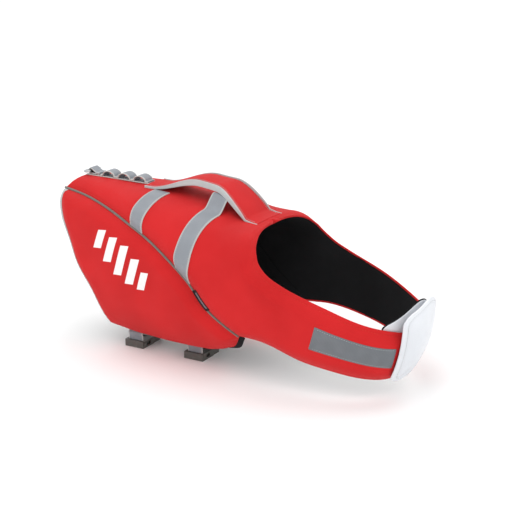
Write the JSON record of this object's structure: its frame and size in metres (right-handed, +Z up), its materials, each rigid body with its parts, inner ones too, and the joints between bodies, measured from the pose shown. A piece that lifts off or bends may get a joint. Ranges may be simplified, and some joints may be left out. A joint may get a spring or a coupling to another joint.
{
  "type": "dog life jacket",
  "caption": "Padded dog flotation jacket with side panels, front collar closure, grab handle, leash ring, daisy chain and belly straps with side-release buckles.",
  "frame": {"origin": "centre of the bounding box's bottom face, level with the undersides of the belly buckles", "axes": "+X towards the dog's head, +Y to the dog's left, +Z up"},
  "size_m": [0.6042, 0.2358, 0.2698],
  "materials": {
    "cover_fabric": "coarse woven nylon, matt",
    "foam": "closed-cell foam sheet",
    "lining": "black knitted lining",
    "webbing": "flat woven webbing",
    "reflective_tape": "satin reflective tape",
    "closure_fabric": "smooth white coated fabric",
    "buckle_plastic": "moulded acetal",
    "ring_steel": "bright plated steel"
  },
  "bodies": {
    "jacket": {"back_lining_right": "lining", "back_cover_right": "cover_fabric", "back_foam_right": "foam", "side_lining_right": "lining", "side_cover_right": "cover_fabric", "side_foam_right": "foam", "collar_lining_right": "lining", "collar_cover_right": "cover_fabric", "collar_foam_right": "foam", "seam_piping_right": "webbing", "rear_binding_right": "webbing", "rear_strap_right": "webbing", "front_strap_right": "webbing", "reflector_right": "reflective_tape", "handle_webbing_right": "webbing", "back_lining_left": "lining", "back_cover_left": "cover_fabric", "back_foam_left": "foam", "side_lining_left": "lining", "side_cover_left": "cover_fabric", "side_foam_left": "foam", "collar_lining_left": "lining", "collar_cover_left": "cover_fabric", "collar_foam_left": "foam", "seam_piping_left": "webbing", "rear_binding_left": "webbing", "rear_strap_left": "webbing", "front_strap_left": "webbing", "reflector_left": "reflective_tape", "handle_webbing_left": "webbing", "handle_cover": "cover_fabric", "handle_core": "foam", "daisy_base": "webbing", "daisy_loops": "webbing", "ring_tab": "webbing", "size_tab": "lining", "closure_tongue": "closure_fabric", "closure_loop_patch": "lining", "rear_strap_stub": "webbing", "rear_strap_far": "webbing", "rear_buckle_housing": "buckle_plastic", "front_strap_stub": "webbing", "front_strap_far": "webbing", "front_buckle_housing": "buckle_plastic"},
    "closure": {"closure_pad": "foam", "closure_flap": "closure_fabric", "closure_hook_patch": "lining"},
    "ring": {"leash_ring": "ring_steel"},
    "rear_clip": {"rear_buckle_clip": "buckle_plastic"},
    "rear_prong_front": {"rear_buckle_prong_front": "buckle_plastic"},
    "rear_prong_rear": {"rear_buckle_prong_rear": "buckle_plastic"},
    "front_clip": {"front_buckle_clip": "buckle_plastic"},
    "front_prong_front": {"front_buckle_prong_front": "buckle_plastic"},
    "front_prong_rear": {"front_buckle_prong_rear": "buckle_plastic"}
  },
  "joints": [
    {"name": "closure_open", "type": "hinge", "parent": "jacket", "child": "closure", "pos_m": [0.2826, 0.0428, 0.0891], "axis": [0.1702, 0.0352, 0.9848], "range_deg": [0, 110]},
    {"name": "ring_swing", "type": "hinge", "parent": "jacket", "child": "ring", "pos_m": [-0.26943, 0, 0.25731], "axis": [0, 1, 0], "range_deg": [0, 120]},
    {"name": "rear_clip_release", "type": "slide", "parent": "jacket", "child": "rear_clip", "axis": [0, 1, 0], "range_m": [0, 0.026]},
    {"name": "rear_prong_front_squeeze", "type": "hinge", "parent": "rear_clip", "child": "rear_prong_front", "pos_m": [-0.15493, -0.025, 0.006], "axis": [0, 0, -1], "range_deg": [0, 7], "stiffness_Nm_per_rad": 0.1},
    {"name": "rear_prong_rear_squeeze", "type": "hinge", "parent": "rear_clip", "child": "rear_prong_rear", "pos_m": [-0.17393, -0.025, 0.006], "axis": [0, 0, 1], "range_deg": [0, 7], "stiffness_Nm_per_rad": 0.1},
    {"name": "front_clip_release", "type": "slide", "parent": "jacket", "child": "front_clip", "axis": [0, 1, 0], "range_m": [0, 0.026]},
    {"name": "front_prong_front_squeeze", "type": "hinge", "parent": "front_clip", "child": "front_prong_front", "pos_m": [-0.04693, -0.025, 0.006], "axis": [0, 0, -1], "range_deg": [0, 7], "stiffness_Nm_per_rad": 0.1},
    {"name": "front_prong_rear_squeeze", "type": "hinge", "parent": "front_clip", "child": "front_prong_rear", "pos_m": [-0.06593, -0.025, 0.006], "axis": [0, 0, 1], "range_deg": [0, 7], "stiffness_Nm_per_rad": 0.1}
  ],
  "couplings": [
    {"joint": "rear_prong_rear_squeeze", "follows": "rear_prong_front_squeeze", "ratio": 1},
    {"joint": "front_prong_rear_squeeze", "follows": "front_prong_front_squeeze", "ratio": 1}
  ]
}
